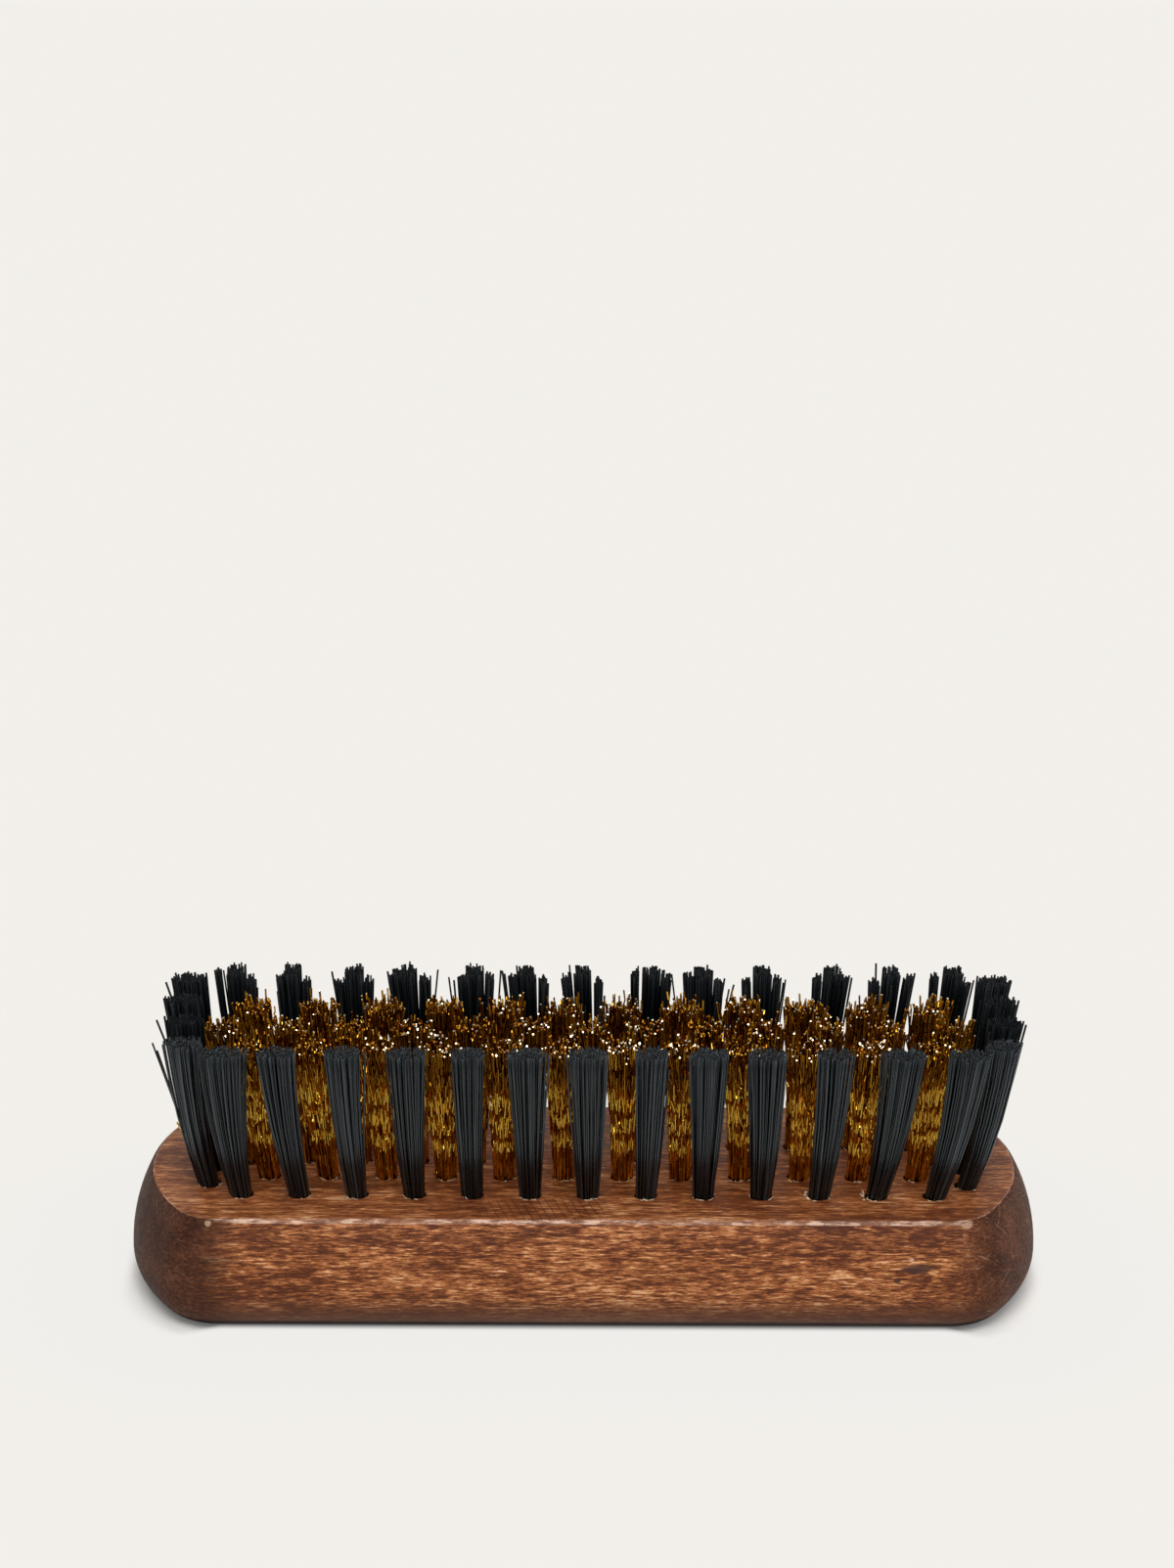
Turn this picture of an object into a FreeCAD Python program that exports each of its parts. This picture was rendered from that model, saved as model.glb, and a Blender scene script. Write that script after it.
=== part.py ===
import FreeCAD, Part
import math
import os
import Sketcher

# A suede brush that lies on its wooden back with the bristles up. +X runs along the brush, +Z up through
# the bristles, and the origin is the middle of the flat back. Lengths are in millimetres and angles in
# degrees.

SIZES = {
    # wooden block
    "block_length": 125,
    "block_width": 45,
    "block_height": 16,
    "end_radius": 34,
    "corner_radius": 9,
    "foot_radius": 5,
    "side_inset": 2.9,
    "rim_radius": 1.1,
    "core_inset": 6,
    # drilled holes
    "hole_radius": 1.55,
    "hole_depth": 9,
    "drill_point": 0.9,
    "cut_overrun": 1,
    # layout of the tufts on the block
    "row_count": 13,
    "long_row_margin": 15.5,
    "long_row_shift": 0.6,
    "short_row_margin": 18.3,
    "short_row_shift": 1.2,
    "side_margin": 11,
    "end_margin": 10.9,
    "end_spacing": 5.3,
    "end_count": 4,
    "brass_row_share": 0.46,
    # how far the tufts lean outward
    "end_lean_angle": 10.6,
    "nylon_lean_angle": 9.7,
    "brass_lean_angle": 6.8,
    # tufts
    "bundle_clearance": 0.05,
    "bundle_lift": 0.1,
    "fold_thickness": 1,
    "nylon_trim": 22.5,
    "nylon_tip_radius": 2.6,
    "brass_trim": 20.3,
    "brass_tip_radius": 2.45,
    "uncut_share": 1.12,
    # grooves between the clumps of filaments, which fade out above the hole
    "groove_count": 12,
    "groove_radius": 0.6,
    "groove_margin": 0.06,
    "groove_depth": 0.55,
    # worn trim of the back row, lower on either side of each tuft's middle
    "shoulder_drop": 1.6,
    "shoulder_start": 1.1,
    # metal anchors that hold the folded tufts in their holes
    "anchor_thickness": 0.5,
    "anchor_height": 2,
    "anchor_bite": 0.35,
}

# Lengths that several features share, as expressions of the sizes
HALF_LENGTH = "(Sizes.block_length / 2)"
HALF_WIDTH = "(Sizes.block_width / 2)"
SIDE_RISE = "(Sizes.block_height - Sizes.foot_radius)"
BARREL_RADIUS = f"(({SIDE_RISE}^2 + Sizes.side_inset^2) / (2 * Sizes.side_inset))"
BUNDLE_RADIUS = "(Sizes.hole_radius - Sizes.bundle_clearance)"
BUNDLE_FOOT = "(Sizes.bundle_lift - Sizes.hole_depth)"
ANCHOR_LENGTH = "(2 * (Sizes.hole_radius + Sizes.anchor_bite))"
END_X = f"({HALF_LENGTH} - Sizes.end_margin)"
SIDE_Y = f"({HALF_WIDTH} - Sizes.side_margin)"
BRASS_Y = f"({SIDE_Y} * Sizes.brass_row_share)"
END_SPAN = "(Sizes.end_spacing * (Sizes.end_count - 1))"
NYLON_TOP = "(Sizes.block_height + Sizes.nylon_trim)"

# How much of the full drop each shoulder of the back row has, from the left end to the right
LEFT_SHOULDER_SHARES = (0.2, 0.6, 1.0, 0.3, 0.7, 0.4, 0.5, 0.2, 0.3, 0.8, 0.5, 0.9, 0.4)
RIGHT_SHOULDER_SHARES = (0.8, 0.9, 0.9, 0.7, 0.5, 0.8, 0.9, 0.4, 1.0, 0.7, 0.6, 0.4, 0.9)

# How a sketch numbers its own axes and the points of a line or arc
X_AXIS, Y_AXIS = range(-1, -3, -1)
START, END, CENTRE = range(1, 4)
ORIGIN = (X_AXIS, START)

doc = FreeCAD.newDocument("suede_brush")


def fill_sheet():
    """The spreadsheet of driving dimensions, one named cell each."""
    sheet = doc.addObject("Spreadsheet::Sheet", "Sizes")
    for row, (alias, value) in enumerate(SIZES.items(), start=1):
        sheet.set(f"A{row}", alias)
        sheet.set(f"B{row}", str(value))
        sheet.setAlias(f"B{row}", alias)
    doc.recompute()
    return sheet


def value(expression):
    """What an expression of the sizes gives now."""
    return float(sheet.evalExpression(expression))


def new_sketch(body, name, role):
    """An empty sketch on one of the body's own origin planes."""
    plane = next(f for f in body.Origin.OriginFeatures if f.Role == role)
    sketch = body.newObject("Sketcher::SketchObject", name)
    sketch.AttachmentSupport = (plane, [""])
    sketch.MapMode = "FlatFace"
    return sketch


def bind(sketch, kind, places, name, expression):
    """A dimension of the sketch that follows an expression of the sizes."""
    number = sketch.addConstraint(Sketcher.Constraint(kind, *places, value(expression)))
    sketch.renameConstraint(number, name)
    sketch.setExpression(f"Constraints.{name}", expression)


def join_tangent(sketch, joints):
    """Joins the ends of neighbouring lines and arcs smoothly."""
    for first, first_end, second, second_end in joints:
        sketch.addConstraint(Sketcher.Constraint("Tangent", first, first_end, second, second_end))


def arc(x, y, radius, start, end):
    """An arc about (x, y), anticlockwise from one angle in radians to another."""
    centre = FreeCAD.Vector(x, y, 0)
    return Part.ArcOfCircle(Part.Circle(centre, FreeCAD.Vector(0, 0, 1), radius), start, end)


def line(x0, y0, x1, y1):
    return Part.LineSegment(FreeCAD.Vector(x0, y0, 0), FreeCAD.Vector(x1, y1, 0))


def plan_outline(body, name, inset):
    """The block from above: straight long sides, bowed ends and round corners, inset from the girth."""
    sketch = new_sketch(body, name, "XY_Plane")
    end_radius = f"(Sizes.end_radius - {inset})"
    corner_radius = f"(Sizes.corner_radius - {inset})"
    half_width = f"({HALF_WIDTH} - {inset})"
    end_centre = f"({HALF_LENGTH} - Sizes.end_radius)"
    big = value(end_radius)
    small = value(corner_radius)
    side_y = value(half_width)
    end_x = value(end_centre)
    corner_y = side_y - small
    corner_x = end_x + math.sqrt((big - small) ** 2 - corner_y**2)
    turn = math.atan2(corner_y, corner_x - end_x)
    right, top, left, bottom = 0, math.pi / 2, math.pi, 3 * math.pi / 2
    sketch.addGeometry(
        [
            arc(end_x, 0, big, right - turn, right + turn),
            arc(corner_x, corner_y, small, right + turn, top),
            line(corner_x, side_y, -corner_x, side_y),
            arc(-corner_x, corner_y, small, top, left - turn),
            arc(-end_x, 0, big, left - turn, left + turn),
            arc(-corner_x, -corner_y, small, left + turn, bottom),
            line(-corner_x, -side_y, corner_x, -side_y),
            arc(corner_x, -corner_y, small, bottom, 2 * math.pi - turn),
        ]
    )
    right_end, back_right, back, back_left, left_end, front_left, front, front_right = range(8)
    loop = [right_end, back_right, back, back_left, left_end, front_left, front, front_right]
    join_tangent(sketch, [(a, END, b, START) for a, b in zip(loop, loop[1:] + loop[:1])])
    sketch.addConstraint(Sketcher.Constraint("Horizontal", back))
    sketch.addConstraint(Sketcher.Constraint("Horizontal", front))
    sketch.addConstraint(Sketcher.Constraint("Equal", right_end, left_end))
    for corner in (back_left, front_left, front_right):
        sketch.addConstraint(Sketcher.Constraint("Equal", back_right, corner))
    for end in (right_end, left_end):
        sketch.addConstraint(Sketcher.Constraint("PointOnObject", end, CENTRE, X_AXIS))
    bind(sketch, "Radius", (right_end,), "end_radius", end_radius)
    bind(sketch, "Radius", (back_right,), "corner_radius", corner_radius)
    bind(sketch, "DistanceY", (*ORIGIN, back, START), "half_width", half_width)
    bind(sketch, "DistanceY", (front, START, back, END), "full_width", f"2 * {half_width}")
    bind(sketch, "DistanceX", (*ORIGIN, right_end, CENTRE), "right_centre", end_centre)
    bind(sketch, "DistanceX", (left_end, CENTRE, right_end, CENTRE), "centres", f"2 * {end_centre}")
    return sketch


def side_profile(body):
    """Section of the block's edge: a rolled foot, a barrelled side that leans in, and a small rim."""
    sketch = new_sketch(body, "side_profile", "YZ_Plane")
    inner_y = f"(Sizes.core_inset - {HALF_WIDTH})"
    foot_y = f"(Sizes.foot_radius - {HALF_WIDTH})"
    inner = value(inner_y)
    foot = value(foot_y)
    foot_radius = value("Sizes.foot_radius")
    rim_radius = value("Sizes.rim_radius")
    height = value("Sizes.block_height")
    barrel_radius = value(BARREL_RADIUS)
    barrel_y = barrel_radius - value(HALF_WIDTH)
    rim_z = height - rim_radius
    rim_rise = rim_z - foot_radius
    rim_y = barrel_y - math.sqrt((barrel_radius - rim_radius) ** 2 - rim_rise**2)
    rim_turn = math.atan2(rim_rise, rim_y - barrel_y)
    sketch.addGeometry(
        [
            line(inner, 0, foot, 0),
            arc(foot, foot_radius, foot_radius, math.pi, 3 * math.pi / 2),
            arc(barrel_y, foot_radius, barrel_radius, rim_turn, math.pi),
            arc(rim_y, rim_z, rim_radius, math.pi / 2, rim_turn),
            line(rim_y, height, inner, height),
            line(inner, height, inner, 0),
        ]
    )
    base, roll, barrel, rim, top, inside = range(6)
    join_tangent(
        sketch,
        [
            (base, END, roll, END),
            (roll, START, barrel, END),
            (barrel, START, rim, END),
            (rim, START, top, START),
        ],
    )
    sketch.addConstraint(Sketcher.Constraint("Coincident", top, END, inside, START))
    sketch.addConstraint(Sketcher.Constraint("Coincident", inside, END, base, START))
    sketch.addConstraint(Sketcher.Constraint("Horizontal", base))
    sketch.addConstraint(Sketcher.Constraint("Horizontal", top))
    sketch.addConstraint(Sketcher.Constraint("Vertical", inside))
    sketch.addConstraint(Sketcher.Constraint("PointOnObject", base, START, X_AXIS))
    sketch.addConstraint(Sketcher.Constraint("Horizontal", roll, CENTRE, barrel, CENTRE))
    bind(sketch, "Radius", (roll,), "foot_radius", "Sizes.foot_radius")
    bind(sketch, "Radius", (barrel,), "barrel_radius", BARREL_RADIUS)
    bind(sketch, "Radius", (rim,), "rim_radius", "Sizes.rim_radius")
    bind(sketch, "DistanceY", (base, START, top, END), "height", "Sizes.block_height")
    bind(sketch, "DistanceX", (*ORIGIN, base, START), "inner", inner_y)
    bind(sketch, "DistanceX", (*ORIGIN, roll, CENTRE), "foot", foot_y)
    return sketch


def make_block_blank():
    """The shaped wooden block before drilling: a core with the side section swept all round it."""
    body = doc.addObject("PartDesign::Body", "block_blank")
    core = body.newObject("PartDesign::Pad", "core")
    core.Profile = plan_outline(body, "core_outline", "Sizes.core_inset")
    core.setExpression("Length", "Sizes.block_height")
    doc.recompute()
    rolled_side = body.newObject("PartDesign::AdditivePipe", "rolled_side")
    rolled_side.Profile = side_profile(body)
    rolled_side.Spine = (plan_outline(body, "girth", "0"), [])
    doc.recompute()
    return body


def revolved(body, name, points):
    """A solid of revolution about Z from (radius, height) expressions, the first and last of them on Z."""
    sketch = new_sketch(body, f"{name}_profile", "XZ_Plane")
    places = [(value(radius), value(height)) for radius, height in points]
    sketch.addGeometry([line(*a, *b) for a, b in zip(places, places[1:] + places[:1])])
    last = len(points) - 1
    for number in range(last):
        sketch.addConstraint(Sketcher.Constraint("Coincident", number, END, number + 1, START))
    sketch.addConstraint(Sketcher.Constraint("Coincident", last, END, 0, START))
    for number, (radius, height) in enumerate(points):
        if number in (0, last):
            sketch.addConstraint(Sketcher.Constraint("PointOnObject", number, START, Y_AXIS))
        else:
            bind(sketch, "DistanceX", (*ORIGIN, number, START), f"radius_{number}", radius)
        if height == "0":
            sketch.addConstraint(Sketcher.Constraint("PointOnObject", number, START, X_AXIS))
        else:
            bind(sketch, "DistanceY", (*ORIGIN, number, START), f"height_{number}", height)
    turned = body.newObject("PartDesign::Revolution", name)
    turned.Profile = sketch
    turned.ReferenceAxis = (sketch, ["V_Axis"])
    turned.Angle = 360
    doc.recompute()
    return turned


def anchor_section(body):
    """End view of an anchor lying across its hole, a fold of the bundle below it."""
    sketch = new_sketch(body, "anchor_section", "XZ_Plane")
    under = f"({BUNDLE_FOOT} + Sizes.fold_thickness)"
    half = value("Sizes.anchor_thickness / 2")
    low = value(under)
    high = low + value("Sizes.anchor_height")
    sketch.addGeometry(
        [
            line(-half, low, half, low),
            line(half, low, half, high),
            line(half, high, -half, high),
            line(-half, high, -half, low),
        ]
    )
    bottom, right, top, left = range(4)
    loop = [bottom, right, top, left]
    for first, second in zip(loop, loop[1:] + loop[:1]):
        sketch.addConstraint(Sketcher.Constraint("Coincident", first, END, second, START))
    for flat in (bottom, top):
        sketch.addConstraint(Sketcher.Constraint("Horizontal", flat))
    for upright in (right, left):
        sketch.addConstraint(Sketcher.Constraint("Vertical", upright))
    bind(sketch, "DistanceX", (*ORIGIN, bottom, END), "half_thickness", "Sizes.anchor_thickness / 2")
    bind(sketch, "DistanceX", (bottom, START, bottom, END), "thickness", "Sizes.anchor_thickness")
    bind(sketch, "DistanceY", (*ORIGIN, bottom, START), "under", under)
    bind(sketch, "DistanceY", (right, START, right, END), "height", "Sizes.anchor_height")
    return sketch


def anchor_bar(body):
    """Pads the anchor's section to its full length across the hole."""
    bar = body.newObject("PartDesign::Pad", "bar")
    bar.Profile = anchor_section(body)
    bar.Midplane = True
    bar.setExpression("Length", ANCHOR_LENGTH)
    doc.recompute()


def make_anchor():
    """The flat metal anchor, at a hole whose mouth is at the origin and whose axis is Z."""
    body = doc.addObject("PartDesign::Body", "anchor")
    anchor_bar(body)
    return body


def make_hole_tool():
    """What a hole takes out of the block: the bore with its drill point, and the anchor's two bites."""
    body = doc.addObject("PartDesign::Body", "hole_tool")
    points = [
        ("0", "Sizes.cut_overrun"),
        ("Sizes.hole_radius", "Sizes.cut_overrun"),
        ("Sizes.hole_radius", "-Sizes.hole_depth"),
        ("0", "-Sizes.hole_depth - Sizes.drill_point"),
    ]
    revolved(body, "bore", points)
    anchor_bar(body)
    return body


def make_bundle(name, tip_radius, trim):
    """A tuft's bundle of filaments before trimming: folded round its anchor and flared above the hole."""
    body = doc.addObject("PartDesign::Body", name)
    uncut_radius = f"({BUNDLE_RADIUS} + ({tip_radius} - {BUNDLE_RADIUS}) * Sizes.uncut_share)"
    uncut_height = f"({trim} * Sizes.uncut_share)"
    points = [
        ("0", BUNDLE_FOOT),
        (BUNDLE_RADIUS, BUNDLE_FOOT),
        (BUNDLE_RADIUS, "0"),
        (uncut_radius, uncut_height),
        ("0", uncut_height),
    ]
    bundle = revolved(body, f"{name}_filaments", points)
    lowest = min(range(len(bundle.Shape.Edges)), key=lambda n: bundle.Shape.Edges[n].CenterOfMass.z)
    fold = body.newObject("PartDesign::Fillet", f"{name}_fold")
    fold.Base = (bundle, [f"Edge{lowest + 1}"])
    fold.setExpression("Radius", "Sizes.fold_thickness")
    doc.recompute()
    slot = body.newObject("PartDesign::Pocket", f"{name}_slot")
    slot.Profile = anchor_section(body)
    slot.Type = "ThroughAll"
    slot.Midplane = True
    doc.recompute()
    if slot.Shape.Volume >= fold.Shape.Volume:
        raise ValueError(f"the anchor's slot takes nothing out of {name}")
    cut_grooves(body, name, tip_radius, trim)
    return body


def cut_grooves(body, name, tip_radius, trim):
    """Grooves round the flare, cut by the corner of a square bar that is clear of the hole's mouth."""
    foot_x = f"({BUNDLE_RADIUS} + Sizes.groove_margin + Sizes.groove_radius)"
    tip_x = f"({tip_radius} - Sizes.groove_depth + Sizes.groove_radius)"
    before = body.Shape.Volume
    groove = body.newObject("PartDesign::SubtractivePrism", f"{name}_groove")
    groove.Polygon = 4
    groove.setExpression("Circumradius", "Sizes.groove_radius")
    groove.setExpression("Height", f"{trim} * Sizes.uncut_share + Sizes.cut_overrun")
    groove.setExpression("Placement.Base.x", foot_x)
    groove.setExpression("Placement.Rotation.Pitch", f"atan(({tip_x} - {foot_x}) / {trim})")
    doc.recompute()
    pattern = body.newObject("PartDesign::PolarPattern", f"{name}_grooves")
    pattern.Originals = [groove]
    pattern.Axis = (next(f for f in body.Origin.OriginFeatures if f.Role == "Z_Axis"), [""])
    pattern.Angle = 360
    pattern.setExpression("Occurrences", "Sizes.groove_count")
    body.Tip = pattern
    doc.recompute()
    if body.Shape.Volume >= before:
        raise ValueError(f"the grooves take nothing out of {name}")


def make_trim_slab(name, trim):
    """The block of air that the trimming blades clear above the tufts of one kind."""
    slab = doc.addObject("Part::Box", name)
    slab.setExpression("Length", "Sizes.block_length")
    slab.setExpression("Width", "Sizes.block_width")
    slab.setExpression("Height", trim)
    slab.setExpression("Placement.Base.x", f"-{HALF_LENGTH}")
    slab.setExpression("Placement.Base.y", f"-{HALF_WIDTH}")
    slab.setExpression("Placement.Base.z", f"Sizes.block_height + {trim}")
    return slab


def row_stations(name, count, kind, y, lean_y):
    """Places along one row: (name, x, y, lean towards x, lean towards y), as expressions of the sizes."""
    pitch = f"((Sizes.block_length - 2 * Sizes.{kind}_row_margin) / ({count} - 1))"
    stations = []
    for number in range(count):
        along = f"({pitch} * ({number} - ({count} - 1) / 2))"
        x = f"(Sizes.{kind}_row_shift + {along})"
        lean_x = f"(Sizes.end_lean_angle * {along} * abs({along}) / {END_X}^2)"
        stations.append((f"{name}_{number + 1:02d}", x, y, lean_x, lean_y))
    return stations


def end_stations(name, side):
    """Places along one end column, side -1 for the left end and 1 for the right."""
    x = f"(Sizes.long_row_shift + {side} * {END_X})"
    lean_x = f"({side} * Sizes.end_lean_angle)"
    stations = []
    for number in range(int(value("Sizes.end_count"))):
        y = f"(Sizes.end_spacing * {number} - {END_SPAN} / 2)"
        lean_y = f"(Sizes.nylon_lean_angle * 2 * {y} / {END_SPAN})"
        stations.append((f"{name}_{number + 1}", x, y, lean_x, lean_y))
    return stations


def put(master, station, kind):
    """A copy of a master at a station on the block's top, leaning as the station does."""
    name, x, y, lean_x, lean_y = station
    copy = doc.addObject("App::Link", f"{kind}_at_{name}")
    copy.LinkedObject = master
    copy.setExpression("Placement.Base.x", x)
    copy.setExpression("Placement.Base.y", y)
    copy.setExpression("Placement.Base.z", "Sizes.block_height")
    copy.setExpression("Placement.Rotation.Pitch", lean_x)
    copy.setExpression("Placement.Rotation.Roll", f"-{lean_y}")
    return copy


def group(name, members):
    """Several separate solids as one object."""
    compound = doc.addObject("Part::Compound", name)
    compound.Links = members
    return compound


def trimmed(name, uncut, slab):
    """A sub-part with its tips cut level."""
    tuft = doc.addObject("Part::Cut", name)
    tuft.Base = uncut
    tuft.Tool = slab
    return tuft


def make_shoulders(station, left_share, right_share):
    """The air left and right of a back tuft's middle, where its filaments end lower."""
    name, x, _, lean_x, _ = station
    tip_x = f"({x} + Sizes.nylon_trim * tan({lean_x}))"
    reach = "(2 * Sizes.nylon_tip_radius)"
    boxes = []
    for side, share, corner_x in (
        ("left", left_share, f"({tip_x} - Sizes.shoulder_start - {reach})"),
        ("right", right_share, f"({tip_x} + Sizes.shoulder_start)"),
    ):
        box = doc.addObject("Part::Box", f"{side}_shoulder_at_{name}")
        box.setExpression("Length", reach)
        box.setExpression("Width", f"2 * {HALF_WIDTH}")
        box.setExpression("Height", f"Sizes.shoulder_drop * {share} + Sizes.cut_overrun")
        box.setExpression("Placement.Base.x", corner_x)
        box.setExpression("Placement.Base.z", f"{NYLON_TOP} - Sizes.shoulder_drop * {share}")
        boxes.append(box)
    return group(f"shoulders_at_{name}", boxes)


def write_parts(nodes):
    """Checks the whole document, then writes each sub-part to its own file."""
    failed = [o.Name for o in doc.Objects if {"Invalid", "Error"} & set(o.State)]
    if failed:
        raise ValueError(f"failed to build: {failed}")
    for node in nodes:
        if node.Shape.isNull() or not node.Shape.isValid():
            raise ValueError(f"bad shape: {node.Label}")
    os.makedirs("parts", exist_ok=True)
    for node in nodes:
        node.Shape.exportStep(f"parts/{node.Label}.step")
    print(f"{len(nodes)} sub-parts, {sum(len(node.Shape.Solids) for node in nodes)} solids")


sheet = fill_sheet()

# Stations of the nylon tufts that ring the block, and of the three staggered brass rows inside the ring
long_count = int(value("Sizes.row_count"))
short_count = long_count - 1
level_stations = (
    row_stations("front", long_count, "long", f"(-{SIDE_Y})", "(-Sizes.nylon_lean_angle)")
    + end_stations("left", -1)
    + end_stations("right", 1)
)
back_stations = row_stations("back", long_count, "long", SIDE_Y, "(Sizes.nylon_lean_angle)")
nylon_stations = level_stations + back_stations
brass_rows = {}
for row_name, count, kind, side in (
    ("front", short_count, "short", -1),
    ("middle", long_count, "long", 0),
    ("back", short_count, "short", 1),
):
    row_y = f"({side} * {BRASS_Y})"
    row_lean = f"({side} * Sizes.brass_lean_angle)"
    brass_rows[row_name] = row_stations(row_name, count, kind, row_y, row_lean)
brass_stations = [station for row in brass_rows.values() for station in row]

# Wooden block, drilled at every station
block_blank = make_block_blank()
hole_tool = make_hole_tool()
block = doc.addObject("Part::Cut", "brush_block")
block.Base = block_blank
block.Tool = group(
    "holes",
    [put(hole_tool, station, "nylon_hole") for station in nylon_stations]
    + [put(hole_tool, station, "brass_hole") for station in brass_stations],
)
nodes = [block]

# Nylon tufts, one node each
nylon_bundle = make_bundle("nylon_bundle", "Sizes.nylon_tip_radius", "Sizes.nylon_trim")
nylon_slab = make_trim_slab("nylon_trim_slab", "Sizes.nylon_trim")
for station in level_stations:
    nodes.append(trimmed(f"nylon_tuft_{station[0]}", put(nylon_bundle, station, "nylon"), nylon_slab))
for station, left_share, right_share in zip(back_stations, LEFT_SHOULDER_SHARES, RIGHT_SHOULDER_SHARES):
    level = trimmed(f"level_{station[0]}", put(nylon_bundle, station, "nylon"), nylon_slab)
    shoulders = make_shoulders(station, left_share, right_share)
    nodes.append(trimmed(f"nylon_tuft_{station[0]}", level, shoulders))

# Brass tufts, one node for each row
brass_bundle = make_bundle("brass_bundle", "Sizes.brass_tip_radius", "Sizes.brass_trim")
brass_slab = make_trim_slab("brass_trim_slab", "Sizes.brass_trim")
for row_name, row in brass_rows.items():
    uncut_row = group(f"brass_{row_name}_uncut", [put(brass_bundle, station, "brass") for station in row])
    nodes.append(trimmed(f"brass_row_{row_name}", uncut_row, brass_slab))

# Anchors, one node for each kind of tuft
anchor = make_anchor()
for kind, stations in (("nylon", nylon_stations), ("brass", brass_stations)):
    nodes.append(group(f"{kind}_anchors", [put(anchor, station, f"{kind}_anchor") for station in stations]))

doc.recompute()
write_parts(nodes)
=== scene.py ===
import math

import bpy
import numpy as np
from mathutils import Matrix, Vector
from mathutils.bvhtree import BVHTree


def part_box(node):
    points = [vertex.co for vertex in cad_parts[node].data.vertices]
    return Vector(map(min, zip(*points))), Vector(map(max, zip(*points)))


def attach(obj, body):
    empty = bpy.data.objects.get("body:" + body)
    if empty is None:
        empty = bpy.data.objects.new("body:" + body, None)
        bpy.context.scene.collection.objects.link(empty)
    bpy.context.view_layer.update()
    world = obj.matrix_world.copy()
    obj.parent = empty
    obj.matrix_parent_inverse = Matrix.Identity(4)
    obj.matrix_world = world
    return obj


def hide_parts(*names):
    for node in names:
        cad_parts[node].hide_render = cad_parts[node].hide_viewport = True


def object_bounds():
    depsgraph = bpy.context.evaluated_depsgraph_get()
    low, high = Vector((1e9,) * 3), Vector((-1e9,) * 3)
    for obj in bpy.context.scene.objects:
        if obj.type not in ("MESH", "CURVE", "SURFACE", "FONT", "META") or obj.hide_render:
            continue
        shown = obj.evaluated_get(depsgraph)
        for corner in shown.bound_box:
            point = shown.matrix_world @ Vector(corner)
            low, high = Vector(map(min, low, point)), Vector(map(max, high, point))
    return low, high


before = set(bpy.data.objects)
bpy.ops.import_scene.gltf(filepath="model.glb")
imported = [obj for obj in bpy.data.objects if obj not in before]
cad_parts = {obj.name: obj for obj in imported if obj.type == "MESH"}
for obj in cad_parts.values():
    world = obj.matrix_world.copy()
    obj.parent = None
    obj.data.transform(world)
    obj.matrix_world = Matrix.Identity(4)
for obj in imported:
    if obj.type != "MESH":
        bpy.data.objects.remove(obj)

cad_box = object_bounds()

# Units and the places read from the frame; sizes are in millimetres where nothing else is said
MM = 0.001
BODY = "root"
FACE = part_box("brush_block")[1].z / MM
HALF_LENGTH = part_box("brush_block")[1].x / MM
HALF_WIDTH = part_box("brush_block")[1].y / MM
HIGHEST = cad_box[1].z / MM

# How the tufts are found in the frame's meshes
FOOT_BAND = 0.6
TIP_BAND = 0.05
TUFT_GAP = 1.0
RAY_CLEARANCE = 1.0
INWARD_SHARES = (1.0, 0.85, 0.7)

# Strands of either kind
FOOT_LIFT = 0.6
DISC_SCATTER = 0.25
RADIUS_RANGE = (0.82, 1.12)

# Nylon strands
NYLON_SEED = 1000
NYLON_COUNT = 96
NYLON_RADIUS = 0.145
NYLON_SIDES = 6
NYLON_STEPS = 5
NYLON_BASE = 1.38
NYLON_TIP = 2.5
NYLON_FLARE = 0.92
NYLON_SCATTER = 0.06
NYLON_BULGE = 0.6
NYLON_STRAY_REACH = (1.05, 1.3)
NYLON_CUT = (0.0, 0.28)
NYLON_CUT_SCATTER = 0.09
NYLON_END_TONE = 0.4
SHOULDER_START = 1.1
SHOULDER_SPLAY = (0.3, 1.0)
GROOVE_COUNT = 12
GROOVE_DEPTH = 0.22

# How the strands of each row fall: ragged ends, splayed shoulders, the share of strays, and their bow
ROW_LOOKS = {
    "front": {"ragged": 0.1, "splay": 0.0, "strays": 0.02, "bow": 0.06},
    "back": {"ragged": 0.3, "splay": 0.6, "strays": 0.06, "bow": 0.1},
    "left": {"ragged": 0.18, "splay": 0.0, "strays": 0.04, "bow": 0.08},
    "right": {"ragged": 0.18, "splay": 0.0, "strays": 0.04, "bow": 0.08},
}

# How the photographed tufts differ along a row, left to right: width, and the tips' lean to the right
FRONT_WIDTHS = (1.4, 1.05, 1.1, 1.2, 1.05, 1.2, 1.15, 1.05, 1.15, 1.2, 1.15, 1.3, 1.3)
OTHER_WIDTH = 1.1
ROW_LEANS = {
    "front": (1.6, -0.1, -0.1, 0.1, 0.0, -0.2, -0.2, 0.6, 0.2, -0.4, 0.1, 0.75, 0.6),
    "back": (1.0, 0.0, 0.0, -1.0, 0.0, -0.7, -0.9, 0.9, 0.0, 0.0, 1.3, 0.9, 0.6),
    "left": (1.4, 0.9, 0.0, 0.0),
    "right": (0.0, 1.0, 0.9, 0.6),
}

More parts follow.
